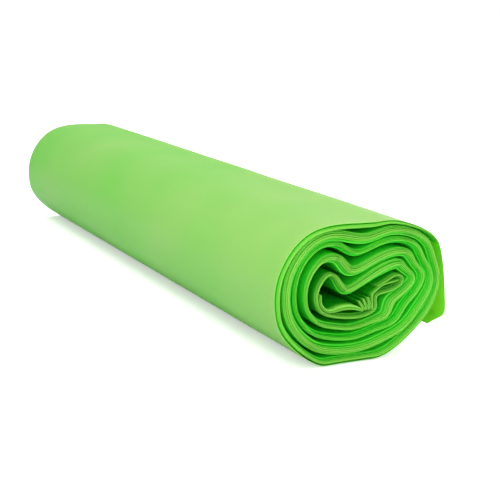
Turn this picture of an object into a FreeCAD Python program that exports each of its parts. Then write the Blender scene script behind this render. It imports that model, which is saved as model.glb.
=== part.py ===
import FreeCAD, Part

import math
import os

from FreeCAD import Vector

# Driving dimensions in millimetres: alias, value, what it is
DIMENSIONS = [
    ("roll_length", 280.0, "width of the folded web of bags, end to end of the roll"),
    ("roll_width", 58.4, "across the squashed roll, without its loose tail"),
    ("roll_height", 44.0, "from the floor to the top of the roll"),
    ("rest_width", 14.0, "flat spot that the soft roll lies on"),
    ("rest_offset", -4.0, "middle of the flat spot, right of the roll's middle"),
    ("web_thickness", 1.3, "one turn of folded film where it is pressed flat"),
    ("web_gape", 1.2, "how much thicker a turn gets where its plies stand apart"),
    ("least_gap", 0.5, "air between two turns where they lie closest"),
    ("edge_thickness", 0.55, "film at the free outer end and at the crumpled inner end"),
    ("thin_run", 34.0, "length over which the web thins towards each of its ends"),
    ("dish_depth", 4.0, "how far the middle of each end sits back"),
    ("dish_radius", 25.0, "how far from the middle the film's edges start to sink"),
    ("tail_hang", 0.9, "how far the tail's crease stands out from the roll's side"),
    ("crease_height", 12.2, "height of the tail's crease above the floor"),
    ("tail_hem", 6.2, "from the tail's crease in to its free edge"),
    ("hem_drop", 2.4, "how far the free edge hangs below the crease"),
]

# What the web passes on each lap, anticlockwise seen from the front. The outermost turn
# is in half widths and half heights of the roll, the innermost in millimetres, and both
# are measured from the roll's middle. The last pair is how far the turn halfway between
# them strays from the middle of the way, in millimetres.
STATIONS = [
    ("right side", (0.969, 0.073), (15.4, 1.3), (0.9, 1.8)),
    ("arm tip", (1.0, 0.41), (16.4, 5.9), (0.1, 1.0)),
    ("arm top", (0.877, 0.736), (14.3, 7.7), (-0.2, 1.6)),
    ("arm root", (0.38, 0.997), (6.2, 4.9), (1.4, 2.1)),
    ("notch", (0.16, 0.983), (-3.3, 0.7), (-0.7, 1.3)),
    ("lobe flank", (-0.38, 0.985), (-7.3, 4.8), (2.3, 2.4)),
    ("lobe tip", (-0.72, 0.81), (-10.6, 6.3), (1.2, 3.0)),
    ("upper left", (-0.945, 0.39), (-13.9, 3.0), (0.0, 2.7)),
    ("left", (-1.0, -0.03), (-14.8, -0.6), (-0.5, 0.9)),
    ("lower left", (-0.921, -0.455), (-13.8, -3.9), (-0.6, 0.9)),
    ("bottom left", (-0.634, -0.85), (-11.3, -5.9), (-1.1, 0.7)),
    ("flat's left edge", (0, -1.0), (-6.9, -7.3), (-0.1, 0.5)),
    ("flat's right edge", (0, -1.0), (-0.5, -8.2), (-2.1, 0.1)),
    ("bottom right", (0.38, -0.905), (3.7, -7.7), (-0.6, 0.5)),
    ("corner", (0.668, -0.63), (6.5, -5.7), (0.7, -1.1)),
    ("crook", (0.836, -0.39), (6.8, -2.4), (1.3, -1.2)),
    ("arm under", (0.925, -0.17), (10.7, -1.0), (1.8, 0.1)),
]


def station(name):
    """How many stations after the first one a named station comes."""
    return [row[0] for row in STATIONS].index(name)


FIRST = station("arm tip")  # where the tail leaves the roll
FLAT_LEFT = station("flat's left edge")
FLAT_RIGHT = station("flat's right edge")

# The free inner end, folded back inside the arm: from the roll's middle
INNER_END = [
    (14.7, 1.0),
    (15.4, 3.0),
    (13.7, 4.0),
    (10.3, 2.5),
    (6.9, 0.7),
]

# Shares of the way up from the tail's crease to the roll
TAIL_SHARES = (0.3, 0.66)
TAIL_BOW = 0.5  # how far the hanging tail bows outwards
CREASE_RADIUS = 0.8

GAPE_FROM = 0.4  # laps in from the tail where the web is thinnest, as it is two laps on
STRAIGHT = 0.004  # bulge below which a stretch of wall is drawn as a line
OVERRUN = 5.0  # how far the cutting cones stand out of the roll's ends


def make_sheet(doc):
    sheet = doc.addObject("Spreadsheet::Sheet", "Sizes")
    for row, (alias, value, note) in enumerate(DIMENSIONS, start=1):
        sheet.set(f"A{row}", note)
        sheet.set(f"B{row}", str(value))
        sheet.setAlias(f"B{row}", alias)
    doc.recompute()
    return sheet


def outermost_turn(sheet):
    """The middle of the film on the outermost turn, one point a station."""
    half_width = sheet.roll_width / 2
    half_height = sheet.roll_height / 2
    outside = [
        Vector(across * half_width, 0, (1 + up) * half_height)
        for _, (across, up), _, _ in STATIONS
    ]
    outside[FLAT_LEFT].x = sheet.rest_offset - sheet.rest_width / 2
    outside[FLAT_RIGHT].x = sheet.rest_offset + sheet.rest_width / 2
    curve = Part.BSplineCurve()
    curve.interpolate(Points=outside, PeriodicFlag=True)
    middle = []
    for point in outside:
        along = curve.tangent(curve.parameter(point))[0]
        inwards = Vector(-along.z, 0, along.x)
        middle.append(point + inwards * (sheet.web_thickness / 2))
    return middle


def innermost_turn(sheet):
    centre = Vector(0, 0, sheet.roll_height / 2)
    return [centre + Vector(x, 0, z) for _, _, (x, z), _ in STATIONS]


def turn_between(outer, inner, share):
    """The turn that lies a share of the way from the outermost in to the innermost."""
    turn = []
    for number, (_, _, _, (x, z)) in enumerate(STATIONS):
        straight = outer[number] + (inner[number] - outer[number]) * share
        turn.append(straight + Vector(x, 0, z) * (4 * share * (1 - share)))
    return turn


def least_step(outer, inner, turns):
    """The shortest way from a station to the next turn, square across the film."""
    steps = []
    for lap in range(turns):
        here = turn_between(outer, inner, lap / turns)
        further = turn_between(outer, inner, (lap + 1) / turns)
        line = Part.makePolygon(further + further[:1])
        steps += [line.distToShape(Part.Vertex(point))[0] for point in here]
    return min(steps)


def count_turns(sheet, outer, inner):
    """The most turns that leave the least gap between them."""
    pitch = sheet.web_thickness + sheet.web_gape / 2 + sheet.least_gap
    turns = 2
    while least_step(outer, inner, turns + 1) >= pitch:
        turns += 1
    return turns


def wound_points(outer, inner, turns):
    """Points of the wound web, and how many laps in from the tail each one is."""
    total = len(STATIONS)
    points = []
    laps = []
    for step in range(FIRST, FIRST + (turns + 1) * total - 1):
        lap = (step - FIRST) // total
        points.append(turn_between(outer, inner, lap / turns)[step % total])
        laps.append((step - FIRST) / total)
    return points, laps


def tail_points(sheet, root):
    """The loose outer end, from its free edge round its crease and up to the roll."""
    crease = Vector(sheet.roll_width / 2 + sheet.tail_hang, 0, sheet.crease_height)
    points = [
        crease - Vector(sheet.tail_hem, 0, sheet.hem_drop),
        crease - Vector(sheet.tail_hem / 2, 0, sheet.hem_drop / 2),
        crease - Vector(CREASE_RADIUS, 0, CREASE_RADIUS / 2),
        crease + Vector(0, 0, CREASE_RADIUS),
    ]
    for share in TAIL_SHARES:
        bow = TAIL_BOW * math.sin(math.pi * share)
        points.append(crease + (root - crease) * share + Vector(bow, 0, 0))
    return points


def inner_end_points(sheet):
    centre = Vector(0, 0, sheet.roll_height / 2)
    return [centre + Vector(x, 0, z) for x, z in INNER_END]


def film_thickness(sheet, lap, turns, run_out, run_in):
    """Thin at both ends of the web, and every second turn gapes."""
    gape = 0.5 - 0.5 * math.cos(math.pi * (lap - GAPE_FROM))
    gape *= min(1.0, max(0.0, turns - lap))
    full = sheet.web_thickness + sheet.web_gape * gape
    nearest = min(1.0, max(0.0, min(run_out, run_in) / sheet.thin_run))
    return sheet.edge_thickness + (full - sheet.edge_thickness) * nearest


def trace_walls(sheet, points, laps, turns, tail_count, end_count):
    """Follow the web's middle, and set its outer and inner wall off from it.

    The walls get a point at each station and one halfway to the next.
    """
    curve = Part.BSplineCurve()
    curve.interpolate(Points=points)
    knots = curve.getKnots()
    begin = curve.length(knots[0], knots[tail_count])
    finish = curve.length(knots[0], knots[-1 - end_count])
    places = [(knots[0], laps[0])]
    for number in range(1, len(knots)):
        halfway = (knots[number - 1] + knots[number]) / 2
        places.append((halfway, (laps[number - 1] + laps[number]) / 2))
        places.append((knots[number], laps[number]))
    outer = []
    inner = []
    for at, lap in places:
        travelled = curve.length(knots[0], at) if at > knots[0] else 0.0
        thickness = film_thickness(sheet, lap, turns, travelled - begin, finish - travelled)
        along = curve.tangent(at)[0]
        aside = Vector(-along.z, 0, along.x) * (thickness / 2)
        outer.append(curve.value(at) - aside)
        inner.append(curve.value(at) + aside)
    return outer, inner


def wall_edges(points, flat=None):
    """One arc from station to station, through the point halfway between them."""
    edges = []
    for start in range(0, len(points) - 1, 2):
        first, middle, last = points[start : start + 3]
        bulge = middle.distanceToLine(first, last - first)
        if start == flat or bulge < STRAIGHT:
            edges.append(Part.makeLine(first, last))
        else:
            edges.append(Part.Arc(first, middle, last).toShape())
    return edges


def make_section(doc, sheet):
    """The web seen from the end, as a flat face half the roll's length in front."""
    outer_turn = outermost_turn(sheet)
    inner_turn = innermost_turn(sheet)
    turns = count_turns(sheet, outer_turn, inner_turn)
    wound, laps = wound_points(outer_turn, inner_turn, turns)
    tail = tail_points(sheet, wound[0])
    crumple = inner_end_points(sheet)
    per_point = 1 / len(STATIONS)
    tail_laps = [per_point * (i - len(tail)) for i in range(len(tail))]
    crumple_laps = [laps[-1] + per_point * (i + 1) for i in range(len(crumple))]
    outer, inner = trace_walls(
        sheet,
        tail + wound + crumple,
        tail_laps + laps + crumple_laps,
        turns,
        len(tail),
        len(crumple),
    )
    flat = 2 * (len(tail) + FLAT_LEFT - FIRST)
    for index in (flat, flat + 2):
        outer[index].z = 0
    edges = wall_edges(outer, flat) + wall_edges(inner)
    edges.append(Part.makeLine(outer[0], inner[0]))
    edges.append(Part.makeLine(outer[-1], inner[-1]))
    section = doc.addObject("Part::Feature", "web_section")
    section.Shape = Part.Face(Part.Wire(Part.sortEdges(edges)[0]))
    box = section.Shape.BoundBox
    place = Vector(-(box.XMin + box.XMax) / 2, -sheet.roll_length / 2, 0)
    section.Placement = FreeCAD.Placement(place, FreeCAD.Rotation())
    return section


def make_wound_web(doc, section):
    web = doc.addObject("Part::Extrusion", "wound_web")
    web.Base = section
    web.DirMode = "Custom"
    web.Dir = Vector(0, 1, 0)
    web.Solid = True
    web.setExpression("LengthFwd", "Sizes.roll_length")
    return web


def make_dish(doc, name, end):
    """A shallow cone that sinks the middle of one end: -1 is the front, 1 the rear."""
    cone = doc.addObject("Part::Cone", name)
    cone.Radius1 = 0
    slope = "Sizes.dish_radius / Sizes.dish_depth"
    cone.setExpression("Height", f"Sizes.dish_depth + {OVERRUN}")
    cone.setExpression("Radius2", f"{slope} * (Sizes.dish_depth + {OVERRUN})")
    cone.Placement.Rotation = FreeCAD.Rotation(Vector(0, 0, 1), Vector(0, end, 0))
    cone.setExpression("Placement.Base.y", f"{end} * (Sizes.roll_length / 2 - Sizes.dish_depth)")
    cone.setExpression("Placement.Base.z", "Sizes.roll_height / 2")
    return cone


def make_roll(doc, sheet):
    web = make_wound_web(doc, make_section(doc, sheet))
    front = doc.addObject("Part::Cut", "front_dished")
    front.Base = web
    front.Tool = make_dish(doc, "front_dish", -1)
    roll = doc.addObject("Part::Cut", "film_roll")
    roll.Label = "film_roll"
    roll.Base = front
    roll.Tool = make_dish(doc, "rear_dish", 1)
    return roll


def check_and_write(doc, nodes):
    os.makedirs("parts", exist_ok=True)
    for item in doc.Objects:
        if "Invalid" in item.State or "Error" in item.State:
            raise RuntimeError(f"{item.Label} did not build: {item.State}")
    for node in nodes:
        shape = node.Shape
        if shape.isNull() or not shape.isValid():
            raise RuntimeError(f"{node.Label} is not a sound shape")
        shape.exportStep(f"parts/{node.Label}.step")


def main():
    doc = FreeCAD.newDocument("bag_roll")
    sheet = make_sheet(doc)
    roll = make_roll(doc, sheet)
    doc.recompute()
    check_and_write(doc, [roll])
    box = roll.Shape.optimalBoundingBox(False)
    print("solids", len(roll.Shape.Solids), "volume", round(roll.Shape.Volume / 1000, 1))
    print("across", round(box.XMin, 2), round(box.XMax, 2))
    print("along", round(box.YMin, 2), round(box.YMax, 2))
    print("up", round(box.ZMin, 2), round(box.ZMax, 2))


main()
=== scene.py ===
import math

import bmesh
import bpy
import numpy as np
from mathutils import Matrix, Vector


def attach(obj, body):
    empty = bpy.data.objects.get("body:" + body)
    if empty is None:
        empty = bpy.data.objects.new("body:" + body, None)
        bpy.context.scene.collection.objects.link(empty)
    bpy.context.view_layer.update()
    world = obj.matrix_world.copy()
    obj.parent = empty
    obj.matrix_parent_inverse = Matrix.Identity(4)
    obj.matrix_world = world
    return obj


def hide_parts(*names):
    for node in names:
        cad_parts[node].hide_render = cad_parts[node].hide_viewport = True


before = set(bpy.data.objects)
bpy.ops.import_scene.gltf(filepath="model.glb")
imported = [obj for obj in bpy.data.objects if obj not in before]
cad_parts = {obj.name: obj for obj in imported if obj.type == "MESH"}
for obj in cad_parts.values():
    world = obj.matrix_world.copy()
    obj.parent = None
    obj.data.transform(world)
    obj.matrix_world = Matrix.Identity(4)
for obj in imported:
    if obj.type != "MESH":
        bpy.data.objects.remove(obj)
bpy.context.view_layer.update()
mm = 0.001

# Camera: where the photographer stood, as read from the roll's own perspective
camera = {
    "position": (-0.1911, -0.4729, 0.1179),
    "aim": (0.0, -0.055, 0.019),
    "lens": 93.0,
    "clip start": 0.01,
}


def addObject(name, data):
    item = bpy.data.objects.new(name, data)
    bpy.context.scene.collection.objects.link(item)
    return item


def aim(item, place, target):
    item.location = place
    away = Vector(target) - Vector(place)
    item.rotation_euler = away.to_track_quat("-Z", "Y").to_euler()


def addCamera():
    data = bpy.data.cameras.new("camera")
    data.lens = camera["lens"]
    data.clip_start = camera["clip start"]
    item = addObject("camera", data)
    aim(item, camera["position"], camera["aim"])
    bpy.context.scene.camera = item


addCamera()
print("stage: camera")


# A node's socket that can be reckoned with
class Value:
    def __init__(self, tree, socket):
        self.tree = tree
        self.socket = socket

    def math(self, operation, *others):
        return self.tree.node("ShaderNodeMath", {"operation": operation}, self, *others)

    def vector(self, operation, *others):
        return self.tree.node("ShaderNodeVectorMath", {"operation": operation}, self, *others)

    def scaled(self, factor):
        return self.tree.node("ShaderNodeVectorMath", {"operation": "SCALE"}, self, Scale=factor)

    def clamped(self, least=0.0):
        return self.math("MAXIMUM", least).math("MINIMUM", 1.0)

    def output(self, name):
        return Value(self.tree, self.socket.node.outputs[name])

    def __add__(self, other):
        return self.math("ADD", other)

    def __radd__(self, other):
        return self.math("ADD", other)

    def __sub__(self, other):
        return self.math("SUBTRACT", other)

    def __rsub__(self, other):
        return self.math("MULTIPLY", -1.0).math("ADD", other)

    def __mul__(self, other):
        return self.math("MULTIPLY", other)

    def __rmul__(self, other):
        return self.math("MULTIPLY", other)

    def __truediv__(self, other):
        return self.math("DIVIDE", other)

    def __rtruediv__(self, other):
        return self.math("POWER", -1.0).math("MULTIPLY", other)


# One node tree: node() makes any node in it, from its type, its settings and its sockets,
# which are given in order or by name
class Tree:
    def __init__(self, group):
        self.group = group

    def node(self, kind, settings=None, *inputs, out=0, **named):
        made = self.group.nodes.new(kind)
        for name, value in (settings or {}).items():
            setattr(made, name, value)
        for key, value in [*enumerate(inputs), *named.items()]:
            socket = made.inputs[key.replace("_", " ") if isinstance(key, str) else key]
            if isinstance(value, Value):
                self.group.links.new(value.socket, socket)
            elif value is not None:
                socket.default_value = value
        return Value(self, made.outputs[out]) if len(made.outputs) else None

    def combined(self, x, y, z):
        return self.node("ShaderNodeCombineXYZ", None, x, y, z)

    # The tree of a material or a world, emptied
    @staticmethod
    def of(item):
        item.use_nodes = True
        item.node_tree.nodes.clear()
        return Tree(item.node_tree)


# The web's path in mm, seen from the front end: the same folds as in the solid
path = {
    "width": 58.4,
    "height": 44.0,
    "length": 280.0,
    "rest": (-11.0, 3.0),  # the flat spot, from left to right
    "film": 1.3,  # thickness at which the outermost turn lies inside the outline
    "turns": 4,  # steps from the outermost to the innermost turn
    "leaves": 1,  # the station where the tail leaves the laps
    "points a station": 8,
    "footing": 0.6,  # of its thickness that a bundle's path keeps above the floor
    "sink": 4.0,  # how far the middle of each end sits back
    "sink radius": 25.0,
}
# Outermost turn in half widths and half heights, innermost in mm, both from the roll's
# middle, and how far in mm the turn halfway between them strays from the middle of the way
stations = [
    ((0.969, 0.073), (15.4, 1.3), (0.9, 1.8)),
    ((1.0, 0.41), (16.4, 5.9), (0.1, 1.0)),
    ((0.877, 0.736), (14.3, 7.7), (-0.2, 1.6)),
    ((0.38, 0.997), (6.2, 4.9), (1.4, 2.1)),
    ((0.16, 0.983), (-3.3, 0.7), (-0.7, 1.3)),
    ((-0.38, 0.985), (-7.3, 4.8), (2.3, 2.4)),
    ((-0.72, 0.81), (-10.6, 6.3), (1.2, 3.0)),
    ((-0.945, 0.39), (-13.9, 3.0), (0.0, 2.7)),
    ((-1.0, -0.03), (-14.8, -0.6), (-0.5, 0.9)),
    ((-0.921, -0.455), (-13.8, -3.9), (-0.6, 0.9)),
    ((-0.634, -0.85), (-11.3, -5.9), (-1.1, 0.7)),
    ((None, -1.0), (-6.9, -7.3), (-0.1, 0.5)),
    ((None, -1.0), (-0.5, -8.2), (-2.1, 0.1)),
    ((0.38, -0.905), (3.7, -7.7), (-0.6, 0.5)),
    ((0.668, -0.63), (6.5, -5.7), (0.7, -1.1)),
    ((0.836, -0.39), (6.8, -2.4), (1.3, -1.2)),
    ((0.925, -0.17), (10.7, -1.0), (1.8, 0.1)),
]
# The loose tail in mm, from its free edge to its crease and up to where it leaves the roll
tail = {
    "crease": (30.1, 12.2),  # from the middle of the roll's foot
    "hem": (6.2, 2.4),  # how far the free edge lies in from the crease and under it
    "radius": 0.8,
    "rise": (0.3, 0.66),  # shares of the way from the crease up to the roll
    "bow": 0.5,
}
# The free inner end, folded back inside the arm, in mm from the roll's middle
innerEnd = [(14.7, 1.0), (15.4, 3.0), (13.7, 4.0), (10.3, 2.5), (6.9, 0.7)]
# At the far end the outermost turn is rounder on top: over how many laps, from and to
# which place across the roll and by how much, in mm
rounding = {"laps": 0.6, "from": -22.0, "to": 21.0, "by": 1.1}
# The bundle of plies after so many laps from the tail, in mm: its thickness, and how far
# its lips sit back
bundle = [
    (-0.4, 0.6, 0.0),
    (0.03, 0.4, 0.0),
    (0.2, 1.5, 0.0),
    (0.4, 1.6, 0.3),
    (0.82, 1.7, 0.2),
    (1.03, 1.5, 0.1),
    (1.15, 2.6, 0.0),
    (1.45, 2.4, 0.0),
    (1.85, 1.8, 0.3),
    (2.05, 1.5, 0.7),
    (2.18, 1.7, 1.2),
    (2.4, 1.1, 1.1),
    (2.85, 1.9, 1.0),
    (3.0, 1.6, 0.3),
    (3.12, 2.5, 0.0),
    (3.2, 2.6, 0.0),
    (3.4, 1.1, 0.3),
    (3.7, 1.4, 0.1),
    (3.82, 2.6, 0.1),
    (3.95, 1.6, 0.4),
    (4.1, 2.9, 0.3),
    (4.18, 2.2, 0.1),
    (4.26, 1.2, 0.0),
    (4.9, 1.1, 0.2),
    (5.1, 1.3, 0.4),
]


# Smooth curve through points, which stand at the knots, at the places asked for
def spline(points, knots, places, period=None):
    points = np.array(points, float)
    knots = np.array(knots, float)
    if period:
        knots = np.concatenate([knots - period, knots, knots + period])
        points = np.concatenate([points, points, points])
    step = np.diff(knots)
    slope = np.diff(points, axis=0) / step[:, None]
    count = len(knots)
    system = np.eye(count)
    right = np.zeros_like(points)
    for i in range(1, count - 1):
        system[i, i - 1 : i + 2] = step[i - 1], 2 * (step[i - 1] + step[i]), step[i]
        right[i] = 6 * (slope[i] - slope[i - 1])
    bend = np.linalg.solve(system, right)
    at = np.clip(np.searchsorted(knots, places, side="right") - 1, 0, count - 2)
    ahead = (places - knots[at])[:, None]
    wide = step[at][:, None]
    first = slope[at] - wide * (2 * bend[at] + bend[at + 1]) / 6
    third = (bend[at + 1] - bend[at]) / (6 * wide)
    return points[at] + ahead * (first + ahead * (bend[at] / 2 + ahead * third))


# Square to each direction, towards the roll's middle
def squareTo(directions):
    directions = directions / np.linalg.norm(directions, axis=1)[:, None]
    return np.stack([-directions[:, 1], directions[:, 0]], axis=1)


# The middle of the film on the outermost turn, one point a station
def outermostTurn():
    half = np.array([path["width"], path["height"]]) / 2
    turn = np.array([[across or 0.0, up] for (across, up), _, _ in stations]) * half
    flats = [i for i, ((across, _), _, _) in enumerate(stations) if across is None]
    turn[flats, 0] = path["rest"]
    chords = np.linalg.norm(np.roll(turn, -1, axis=0) - turn, axis=1)
    knots = np.concatenate([[0.0], np.cumsum(chords)])
    nearby = 0.01  # mm to both sides of a station, to find the curve's direction there
    sides = np.concatenate([knots[:-1] - nearby, knots[:-1] + nearby])
    around = spline(turn, knots[:-1], sides, period=knots[-1])
    return turn + squareTo(around[len(turn) :] - around[: len(turn)]) * path["film"] / 2


def woundPoints():
    outer = outermostTurn()
    inner = np.array([place for _, place, _ in stations])
    stray = np.array([strays for _, _, strays in stations])
    total = len(stations)
    points = []
    for step in range(path["leaves"], path["leaves"] + (path["turns"] + 1) * total - 1):
        share = (step - path["leaves"]) // total / path["turns"]
        turn = outer + (inner - outer) * share + stray * 4 * share * (1 - share)
        points.append(turn[step % total])
    return points


def tailPoints(root):
    crease = np.array(tail["crease"]) - (0, path["height"] / 2)
    hem = np.array(tail["hem"])
    radius = tail["radius"]
    points = [crease - hem, crease - hem / 2, crease - (radius, radius / 2), crease + (0, radius)]
    for share in tail["rise"]:
        bow = tail["bow"] * math.sin(math.pi * share)
        points.append(crease + (root - crease) * share + (bow, 0))
    return points


# A smooth line through the corners, with so many points a corner. The knots grow with the
# square root of the distance, which keeps tight folds from overshooting.
def finePath(corners, fine):
    corners = np.array(corners)
    chords = np.linalg.norm(np.diff(corners, axis=0), axis=1)
    knots = np.concatenate([[0.0], np.cumsum(np.sqrt(chords))])
    numbers = np.arange(fine * (len(corners) - 1) + 1) / fine
    return spline(corners, knots, np.interp(numbers, np.arange(len(knots)), knots)), numbers


# The web's path in mm from the middle of the floor under the roll, with what each of its
# points carries, and how far the roll's middle was moved to lie there
def webGuide():
    wound = woundPoints()
    loose = tailPoints(wound[0])
    line, numbers = finePath(loose + wound + innerEnd, path["points a station"])
    laps = (numbers - len(loose)) / len(stations)
    table = np.array(bundle)
    thick, back = (np.interp(laps, table[:, 0], column) for column in table.T[1:])
    onTop = (laps > 0) & (laps < rounding["laps"]) & (line[:, 1] > 0)
    across = (line[:, 0] - rounding["from"]) / (rounding["to"] - rounding["from"])
    lift = rounding["by"] * np.sin(math.pi * np.clip(across, 0, 1)) ** 2 * onTop
    shift = (line[:, 0].min() + line[:, 0].max()) / 2
    line += (-shift, path["height"] / 2)
    line[:, 1] = np.maximum(line[:, 1], thick * path["footing"])
    carried = {"lap": laps, "thickness": thick * mm, "back": back * mm, "lift": lift * mm}
    return {"line": line, **carried}, shift


web, guideShift = webGuide()
print("stage: guide", len(web["line"]), "points")

# The crumpled film in the hollow, in mm from the roll's middle: a strip along its bottom,
# as places with a thickness, a fan of pleats at its right end, each from foot to tip, and
# film that runs on into the arm
crumple = {
    "strip": [
        (-13.2, 0.4, 0.5),
        (-13.4, -1.8, 0.7),
        (-12.1, -4.1, 0.9),
        (-9.9, -5.1, 1.4),
        (-6.5, -4.9, 2.2),
        (-2.6, -4.9, 2.2),
        (1.0, -5.9, 1.2),
    ],
    "feet": ((2.2, -6.2), (5.3, -6.3)),
    "tips": ((1.0, -3.4), (5.5, -2.0)),
    "pleats": 4,
    "arm": [(6.3, -0.9), (8.9, 1.0), (12.4, 1.9), (14.0, 2.4)],
    "pleat thickness": 0.55,
    # Painted shade: at this lap the crumpled film takes the hollow's darker painted green
    "lap": 5.0,  # how many laps in it lies, which gives its colour
}


def pleats():
    corners = []
    for share in np.linspace(0, 1, crumple["pleats"]):
        for start, end in (crumple["feet"], crumple["tips"]):
            corners.append(tuple(np.array(start) * (1 - share) + np.array(end) * share))
    return corners


def crumpleGuide():
    strip = crumple["strip"]
    fan = pleats() + crumple["arm"]
    line, numbers = finePath([place[:2] for place in strip] + fan, path["points a station"])
    line += (-guideShift, path["height"] / 2)
    thick = [place[2] for place in strip] + [crumple["pleat thickness"]] * len(fan)
    thick = np.interp(numbers, np.arange(len(thick)), thick) * mm
    none = np.zeros(len(line))
    carried = {"lap": none + crumple["lap"], "thickness": thick, "back": none, "lift": none}
    return {"line": line, **carried}


# A path as loose points, each with its inward direction and what it carries
def guideObject(guide):
    mesh = bpy.data.meshes.new("guide")
    mesh.from_pydata([(x * mm, 0.0, z * mm) for x, z in guide["line"]], [], [])
    inwards = squareTo(np.gradient(guide["line"], axis=0))
    attribute = mesh.attributes.new("inwards", "FLOAT_VECTOR", "POINT")
    attribute.data.foreach_set("vector", [v for x, z in inwards for v in (x, 0.0, z)])
    for name in ("lap", "thickness", "back", "lift"):
        attribute = mesh.attributes.new(name, "FLOAT", "POINT")
        attribute.data.foreach_set("value", guide[name])
    return addObject("guide", mesh)


# A ply's own inputs: name, type and value if nothing else is given
plyInputs = [
    ("First Point", "NodeSocketInt", 0),
    ("Last Point", "NodeSocketInt", 100),
    ("Offset", "NodeSocketFloat", 0.0),
    ("Width", "NodeSocketFloat", 0.2),
    ("Sunk", "NodeSocketFloat", 0.0),
    ("Wander", "NodeSocketFloat", 0.0),
    ("Ripple", "NodeSocketFloat", 0.0),
    ("Bare", "NodeSocketFloat", 0.0),
    ("Steps Around", "NodeSocketInt", 20),
    ("Lip Share", "NodeSocketFloat", 0.4),
    ("Lip Depth", "NodeSocketFloat", 1.0),
    ("Half Length", "NodeSocketFloat", path["length"] / 2 * mm),
    ("Dish Depth", "NodeSocketFloat", path["sink"] * mm),
    ("Dish Radius", "NodeSocketFloat", path["sink radius"] * mm),
    ("Middle Height", "NodeSocketFloat", path["height"] / 2 * mm),
    ("Seed", "NodeSocketFloat", 0.0),
    ("Material", "NodeSocketMaterial", None),
]
# What every ply does alike
sleeve = {
    "taper": 8.0,  # points over which it thins to nothing at both ends of its run
    "swell": 0.9,  # how much its thickness varies
    "drift": 0.12,  # how far it strays in its bundle, as a share of the bundle
    "edge bias": 0.4,  # more makes its lips sit back over more of their length
    "ripple stretch": 0.35,  # less than 1 draws the ripples out along the roll
    "ripple bias": 0.4,  # less makes more of the side ripple
    "ripple detail": 2.0,
    "ripple fade": 7.0,  # how quickly the ripples start behind a lip
    "fade blend": 0.5,  # how softly that start ends
    "grooved laps": 0.95,  # up to here a groove parts the first ply from the others
    "groove": 0.18,  # how far the others move in, as a share of the bundle
    "groove squeeze": 0.25,  # how much closer together they then lie
    "bare laps": 0.93,  # up to here nothing lies over the outer ply
    "covered": (-0.04, 14.0),  # the lap from which film lies over it, and how fast
    # Painted glow: the loose tail's inner face counts as partly covered and takes the deep green,
    # standing in for light shining through the tail
    "tail glow": 0.5,  # how far the loose tail counts as covered
    # Painted shade: from this lap on, film lining the hollow takes a darker green
    "hollow shade": (4.15, 8.0),  # the lap where the hollow's darker green starts, and how fast
    "loose": (0.0, -14.0),  # the same for the tail, which lets more light through
    "merge": 0.000001,  # between points that become one where the sleeve closes
}
# Noise along the path: how fine it is, and a shift that tells it from the others
noises = {
    "swell": (90.0, 3.0),
    "front edge": (60.0, 11.0),
    "rear edge": (60.0, 17.0),
    "drift": (70.0, 29.0),
    "ripple": (55.0, 23.0),
}


def plyGroup():
    group = bpy.data.node_groups.new("windPly", "GeometryNodeTree")
    group.interface.new_socket("Geometry", in_out="INPUT", socket_type="NodeSocketGeometry")
    for name, kind, value in plyInputs:
        socket = group.interface.new_socket(name, in_out="INPUT", socket_type=kind)
        if value is not None:
            socket.default_value = value
    group.interface.new_socket("Geometry", in_out="OUTPUT", socket_type="NodeSocketGeometry")
    return group


# What the guide's points carry, by their number
def readGuide(tree, points, number):
    def sampled(field, kind):
        settings = {"data_type": kind}
        sockets = {"Geometry": points, "Value": field, "Index": number}
        return tree.node("GeometryNodeSampleIndex", settings, **sockets)

    def carried(name, kind="FLOAT"):
        field = tree.node("GeometryNodeInputNamedAttribute", {"data_type": kind}, name)
        return sampled(field, kind)

    position = tree.node("GeometryNodeInputPosition")
    guide = {name: carried(name) for name in ("thickness", "lap", "back", "lift")}
    guide["inwards"] = carried("inwards", "FLOAT_VECTOR")
    guide["spot"] = sampled(position, "FLOAT_VECTOR")
    return guide


def noise(tree, name, given, vector, detail=1.0):
    scale, shift = noises[name]
    sockets = {"Vector": vector, "W": given["Seed"] + shift, "Scale": scale, "Detail": detail}
    return tree.node("ShaderNodeTexNoise", {"noise_dimensions": "4D"}, **sockets)


# The way round a sleeve: along its outer side from the front lip to the rear one, then
# back along its inner side. Lips are half rounds, and straight is 0 to 1 between them.
def roundSleeve(way, lipShare):
    side = 1.0 - way.math("LESS_THAN", 0.5) * 2.0
    share = 1.0 - (1.0 - way * 2.0).math("ABSOLUTE")
    lip = share.math("MINIMUM", 1.0 - share).math("MINIMUM", lipShare) / lipShare
    angle = lip * (math.pi / 2)
    straight = ((share - lipShare) / (1.0 - lipShare * 2.0)).clamped()
    return {
        "side": side,
        "straight": straight,
        "across": side * angle.math("SINE"),
        "cap": angle.math("COSINE"),
        "facing": 1.0 - share.math("LESS_THAN", 0.5) * 2.0,
    }


# Where a point lies along the roll: its ends are dished, with edges that wander a little
def alongRoll(tree, given, guide, rounded, width):
    spot = guide["spot"]
    middle = tree.combined(0.0, 0.0, given["Middle Height"])
    radius = spot.vector("SUBTRACT", middle)
    away = tree.node("ShaderNodeVectorMath", {"operation": "LENGTH"}, radius, out="Value")
    dish = (1.0 - away / given["Dish Radius"]).math("MAXIMUM", 0.0) * given["Dish Depth"]
    lipDepth = width * given["Lip Depth"] / 2.0
    sunk = given["Sunk"] + guide["back"]

    def inset(name):
        wander = noise(tree, name, given, spot) - 0.5 + sleeve["edge bias"]
        return dish + (sunk + given["Wander"] * wander.math("MAXIMUM", 0.0)) + lipDepth

    front = inset("front edge") - given["Half Length"]
    rear = given["Half Length"] - inset("rear edge")
    return front + (rear - front) * rounded["straight"] + rounded["cap"] * lipDepth * rounded["facing"]


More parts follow.
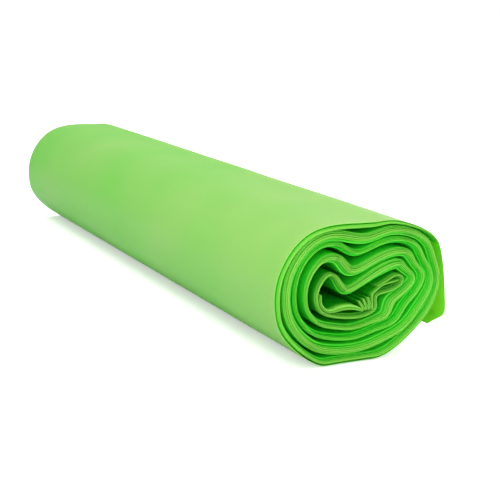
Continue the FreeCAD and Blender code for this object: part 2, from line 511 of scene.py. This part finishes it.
# Faint ripples in the side of the film, none at its lips
def ripples(tree, given, guide, rounded, along):
    stretched = tree.combined(0.0, along * sleeve["ripple stretch"], 0.0)
    vector = guide["spot"].vector("ADD", stretched)
    wave = noise(tree, "ripple", given, vector, sleeve["ripple detail"])
    straight = rounded["straight"]
    fade = straight.math("MINIMUM", 1.0 - straight) * sleeve["ripple fade"]
    fade = fade.math("SMOOTH_MIN", 1.0, sleeve["fade blend"])
    return given["Ripple"] * (wave - sleeve["ripple bias"]).math("MAXIMUM", 0.0) * fade * -1.0


# How far a point lies in from the guide
def inwardShift(tree, given, guide, rounded, width):
    apart = guide["lap"].math("LESS_THAN", sleeve["grooved laps"]) * (1.0 - given["Bare"])
    squeeze = given["Offset"] * sleeve["groove squeeze"]
    offset = given["Offset"] + apart * (sleeve["groove"] - squeeze)
    drift = sleeve["drift"] * (noise(tree, "drift", given, guide["spot"]) - 0.5)
    return guide["thickness"] * (offset + drift) + rounded["across"] * width / 2.0


# What the material reads: where film lies behind other film, which takes painted shade behind its lips,
# is loose, or lines the hollow, which takes a darker painted shade
def filmMarks(given, guide, rounded):
    def ramp(name):
        start, slope = sleeve[name]
        return (guide["lap"] - start) * slope

    bare = given["Bare"] * guide["lap"].math("LESS_THAN", sleeve["bare laps"])
    bare = bare * rounded["side"].math("LESS_THAN", 0.0)
    # The tail's share of cover is a painted glow of light through it
    covered = ramp("covered").clamped(sleeve["tail glow"])
    return {
        "covered": covered * (1.0 - bare * (1.0 - rounded["cap"])),
        "loose": ramp("loose").clamped(),
        "hollow shade": ramp("hollow shade").clamped(),
    }


# One ply of film along the guide, a closed sleeve with a rounded lip at each end
def plyTree():
    group = plyGroup()
    tree = Tree(group)
    source = tree.node("NodeGroupInput")
    given = {name: source.output(name) for name, _, _ in plyInputs}
    span = given["Last Point"] - given["First Point"]
    counts = {"Vertices_X": span + 1.0, "Vertices_Y": given["Steps Around"] + 1.0}
    shell = tree.node("GeometryNodeMeshGrid", None, Size_X=1.0, Size_Y=1.0, **counts)
    place = tree.node("ShaderNodeSeparateXYZ", None, tree.node("GeometryNodeInputPosition"))
    run = place + 0.5
    number = (given["First Point"] + run * span).math("ROUND")
    guide = readGuide(tree, source.output("Geometry"), number)
    rounded = roundSleeve(place.output("Y") + 0.5, given["Lip Share"])

    fromEnd = (run * span).math("MINIMUM", (1.0 - run) * span) / sleeve["taper"]
    taper = fromEnd.math("MINIMUM", 1.0).math("SQRT")
    swell = 1.0 + sleeve["swell"] * (noise(tree, "swell", given, guide["spot"]) - 0.5)
    width = guide["thickness"] * given["Width"] * swell * taper

    along = alongRoll(tree, given, guide, rounded, width)
    shift = inwardShift(tree, given, guide, rounded, width)
    shift = shift + ripples(tree, given, guide, rounded, along)
    moved = guide["spot"].vector("ADD", guide["inwards"].scaled(shift))
    lift = guide["lift"] * rounded["straight"]
    moved = moved.vector("ADD", tree.combined(0.0, along, lift))
    # The film lies flat where it meets the floor
    moved = moved.vector("MAXIMUM", (-1.0, -1.0, 0.0))

    settings = {"data_type": "FLOAT", "domain": "POINT"}
    for name, value in filmMarks(given, guide, rounded).items():
        sockets = {"Geometry": shell, "Name": name, "Value": value}
        shell = tree.node("GeometryNodeStoreNamedAttribute", settings, **sockets)
    shell = tree.node("GeometryNodeSetPosition", None, Geometry=shell, Position=moved)
    shell = tree.node("GeometryNodeMergeByDistance", None, Geometry=shell, Distance=sleeve["merge"])
    shell = tree.node("GeometryNodeFlipFaces", None, shell)
    shell = tree.node("GeometryNodeSetShadeSmooth", None, shell)
    shell = tree.node("GeometryNodeRealizeInstances", None, shell)
    shell = tree.node("GeometryNodeSetMaterial", None, Geometry=shell, Material=given["Material"])
    tree.node("NodeGroupOutput", None, shell)
    return group


# Runs the tree on a guide and keeps its result as a plain mesh
def windPly(tree, guide, name, **values):
    modifier = guide.modifiers.new("ply", "NODES")
    modifier.node_group = tree
    sockets = {s.name: s.identifier for s in tree.interface.items_tree if s.in_out == "INPUT"}
    for key, value in values.items():
        modifier[sockets[key.replace("_", " ")]] = value
    guide.update_tag()
    evaluated = guide.evaluated_get(bpy.context.evaluated_depsgraph_get())
    mesh = bpy.data.meshes.new_from_object(evaluated)
    mesh.name = name
    guide.modifiers.remove(modifier)
    return mesh


# Film: satin and a little translucent, with stronger greens at its lips, a painted sheen that makes its
# outside lighter towards the top and the front, and painted shade of saturated green between its plies
# and darker green in the hollow
film = {
    "colour": (0.205, 0.58, 0.085),
    "light patches and painted sheen": (0.4, 0.6, 0.18),
    "patch scale": 26.0,
    "patch detail": 2.0,
    "patch range": (0.45, 1.3),  # from none to all of the light colour
    # Painted light: the outside turns lighter towards the top and the front, a painted sheen, and darker
    # towards the floor, a painted shade; the noise patches are the film's own mottling
    "painted sheen above": 0.4,  # how much the light colour gains from the floor to the top
    "painted sheen in front": 0.5,
    "lips": (0.26, 0.69, 0.09),
    # Painted shade: covered film behind its lips takes saturated greens, standing in for light bouncing
    # between the plies, and a darker green in the hollow
    "between": (0.032, 0.86, 0.028),
    "shade far inside": (0.024, 0.92, 0.02),
    "hollow shade": (0.004, 0.42, 0.006),
    "through": (0.42, 0.76, 0.015),
    "depth": (0.0004, 0.003),  # behind a lip, where the deep colour starts and is full
    "far": (0.003, 0.012),
    "translucence": 0.42,
    "loose translucence": 0.55,
    "roughness": 0.45,
    "specular": 0.35,
}


# Blends two colours, which are sockets or plain colours
def mixed(tree, factor, first, second):
    colours = [(*colour, 1) if isinstance(colour, tuple) else colour for colour in (first, second)]
    otherTypes = [None] * 5  # the sockets for numbers and vectors come before the colours
    return tree.node("ShaderNodeMix", {"data_type": "RGBA"}, factor, *otherTypes, *colours, out=2)


# From 0 to 1 between two limits
def fading(tree, value, limits):
    return tree.node("ShaderNodeMapRange", None, value, From_Min=limits[0], From_Max=limits[1])


# How far behind its lip a place on the film lies
def depthBehindLip(axes):
    height = axes.output("Z") - path["height"] / 2 * mm
    away = (axes * axes + height * height).math("SQRT")
    dish = (1.0 - away / (path["sink radius"] * mm)).math("MAXIMUM", 0.0) * (path["sink"] * mm)
    return path["length"] / 2 * mm - axes.output("Y").math("ABSOLUTE") - dish


def outsideColourAndPaintedSheen(tree, place, axes):
    sockets = {"Vector": place, "Scale": film["patch scale"], "Detail": film["patch detail"]}
    patchesAndSheen = tree.node("ShaderNodeTexNoise", None, **sockets)
    # Painted sheen and shade: lighter towards the top and the front, darker towards the floor
    patchesAndSheen = patchesAndSheen + axes.output("Z") / (path["height"] * mm) * film["painted sheen above"]
    patchesAndSheen = patchesAndSheen - axes.output("Y") / (path["length"] * mm) * film["painted sheen in front"]
    return mixed(tree, fading(tree, patchesAndSheen, film["patch range"]), film["colour"], film["light patches and painted sheen"])


def filmMaterial():
    material = bpy.data.materials.new("green_film")
    tree = Tree.of(material)
    place = tree.node("ShaderNodeTexCoord").output("Object")
    axes = tree.node("ShaderNodeSeparateXYZ", None, place)
    marks = {}
    for name in ("covered", "loose", "hollow shade"):
        marks[name] = tree.node("ShaderNodeAttribute", {"attribute_name": name}, out="Fac")

    depth = depthBehindLip(axes)
    colour = mixed(tree, marks["covered"], outsideColourAndPaintedSheen(tree, place, axes), film["lips"])
    # Painted shade behind each lip: saturated greens between the plies, a darker green in the hollow
    between = mixed(tree, fading(tree, depth, film["far"]), film["between"], film["shade far inside"])
    between = mixed(tree, marks["hollow shade"], between, film["hollow shade"])
    recessShade = fading(tree, depth, film["depth"])
    colour = mixed(tree, recessShade * marks["covered"], colour, between)
    surface = {"Roughness": film["roughness"], "Specular_IOR_Level": film["specular"]}
    body = tree.node("ShaderNodeBsdfPrincipled", None, Base_Color=colour, **surface)
    glow = tree.node("ShaderNodeBsdfTranslucent", None, (*film["through"], 1))
    more = film["loose translucence"] - film["translucence"]
    share = film["translucence"] + marks["loose"] * more
    both = tree.node("ShaderNodeMixShader", None, share, body, glow)
    tree.node("ShaderNodeOutputMaterial", None, both)
    return material


green = filmMaterial()
print("stage: materials")

# The plies of the folded web: place and width as shares of the bundle's thickness,
# how far their lips sit back and how much they wander, in mm. The outer ply alone makes
# the tail.
wrap = {
    "offset": -0.46,
    "width": 0.11,
    "sunk": 1.1,
    "wander": 0.6,
    "ripple": 0.5,
    "steps": 100,
    "lip share": 0.08,
    "seed": 7,
}
inner = {
    "from lap": 0.03,
    "first seed": 1,
    "plies": [
        {"offset": -0.30, "width": 0.14, "sunk": 0.6, "wander": 1.4},
        {"offset": -0.10, "width": 0.14, "sunk": 0.1, "wander": 0.9},
        {"offset": 0.10, "width": 0.14, "sunk": 0.0, "wander": 0.8},
        {"offset": 0.29, "width": 0.14, "sunk": 0.5, "wander": 1.0},
        {"offset": 0.46, "width": 0.10, "sunk": 1.2, "wander": 1.6},
        {"offset": 0.72, "width": 0.3, "sunk": 1.9, "wander": 1.4},
    ],
}
crumpled = {
    "first seed": 11,
    "plies": [
        {"offset": -0.25, "width": 0.42, "sunk": 0.4, "wander": 1.6},
        {"offset": 0.25, "width": 0.42, "sunk": 0.0, "wander": 1.6},
    ],
}


def addPiece(mesh):
    item = addObject(mesh.name, mesh)
    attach(item, "root")
    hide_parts("film_roll")


# What any ply needs of the tree's inputs
def plyValues(ply, first, last, seed):
    return {
        "First_Point": first,
        "Last_Point": last,
        "Offset": ply["offset"],
        "Width": ply["width"],
        "Sunk": ply["sunk"] * mm,
        "Wander": ply["wander"] * mm,
        "Seed": float(seed),
        "Material": green,
    }


def addPlies(name, tree, line, bundled, first, last):
    whole = bmesh.new()
    for number, ply in enumerate(bundled["plies"]):
        values = plyValues(ply, first, last, number + bundled["first seed"])
        whole.from_mesh(windPly(tree, line, f"ply_{number}", **values))
    mesh = bpy.data.meshes.new(name)
    whole.to_mesh(mesh)
    whole.free()
    mesh.materials.append(green)
    addPiece(mesh)


def addOuterPly(tree, line, last):
    values = plyValues(wrap, 0, last, wrap["seed"])
    values["Ripple"] = wrap["ripple"] * mm
    values["Steps_Around"] = wrap["steps"]
    values["Lip_Share"] = wrap["lip share"]
    values["Bare"] = 1.0
    addPiece(windPly(tree, line, "outer_ply", **values))


def addFilm():
    tree = plyTree()
    line = guideObject(web)
    last = len(web["line"]) - 1
    freeEnd = (len(innerEnd) - 1) * path["points a station"]
    addOuterPly(tree, line, last - freeEnd)
    first = int(np.searchsorted(web["lap"], inner["from lap"]))
    addPlies("inner_plies", tree, line, inner, first, last)
    bpy.data.objects.remove(line)
    folds = crumpleGuide()
    line = guideObject(folds)
    addPlies("crumpled_end", tree, line, crumpled, 0, len(folds["line"]) - 1)
    bpy.data.objects.remove(line)


addFilm()

# Studio: pale floor, white surroundings and large soft lamps
studio = {
    "floor": (0.88, 0.88, 0.88),
    "floor half width": 30.0,
    "floor lift": 0.4,  # brightness that only the camera sees
    "world": 0.7,
    "aim": (0, 0, 0.02),
    "lamps": {
        "key": {"power": 7.5, "size": 0.7, "place": (-0.25, -0.1, 0.9)},
        "back": {"power": 4.0, "size": 0.5, "place": (0.6, 0.25, 0.35)},
        "front": {"power": 8.4, "size": 0.8, "place": (-0.4, -1.05, 0.3)},
    },
}
white = (1, 1, 1, 1)


# White where the camera sees it, and less bright on the object
def addWorld():
    world = bpy.data.worlds.new("studio")
    bpy.context.scene.world = world
    tree = Tree.of(world)
    seen = tree.node("ShaderNodeLightPath").output("Is Camera Ray")
    strength = seen + (1.0 - seen) * studio["world"]
    light = tree.node("ShaderNodeBackground", None, white, strength)
    tree.node("ShaderNodeOutputWorld", None, light)


def addFloor():
    wide = studio["floor half width"]
    corners = [(-wide, -wide, 0), (wide, -wide, 0), (wide, wide, 0), (-wide, wide, 0)]
    mesh = bpy.data.meshes.new("floor")
    mesh.from_pydata(corners, [], [(0, 1, 2, 3)])
    floor = addObject("floor", mesh)
    material = bpy.data.materials.new("floor")
    tree = Tree.of(material)
    plain = tree.node("ShaderNodeBsdfDiffuse", None, (*studio["floor"], 1))
    seen = tree.node("ShaderNodeLightPath").output("Is Camera Ray")
    lift = tree.node("ShaderNodeEmission", None, white, seen * studio["floor lift"])
    tree.node("ShaderNodeOutputMaterial", None, tree.node("ShaderNodeAddShader", None, plain, lift))
    mesh.materials.append(material)


def addLamps():
    for name, lamp in studio["lamps"].items():
        light = bpy.data.lights.new(name, "AREA")
        light.energy = lamp["power"]
        light.size = lamp["size"]
        aim(addObject(name, light), lamp["place"], studio["aim"])


addWorld()
addFloor()
addLamps()
bpy.context.scene.view_settings.view_transform = "Standard"
print("stage: studio")
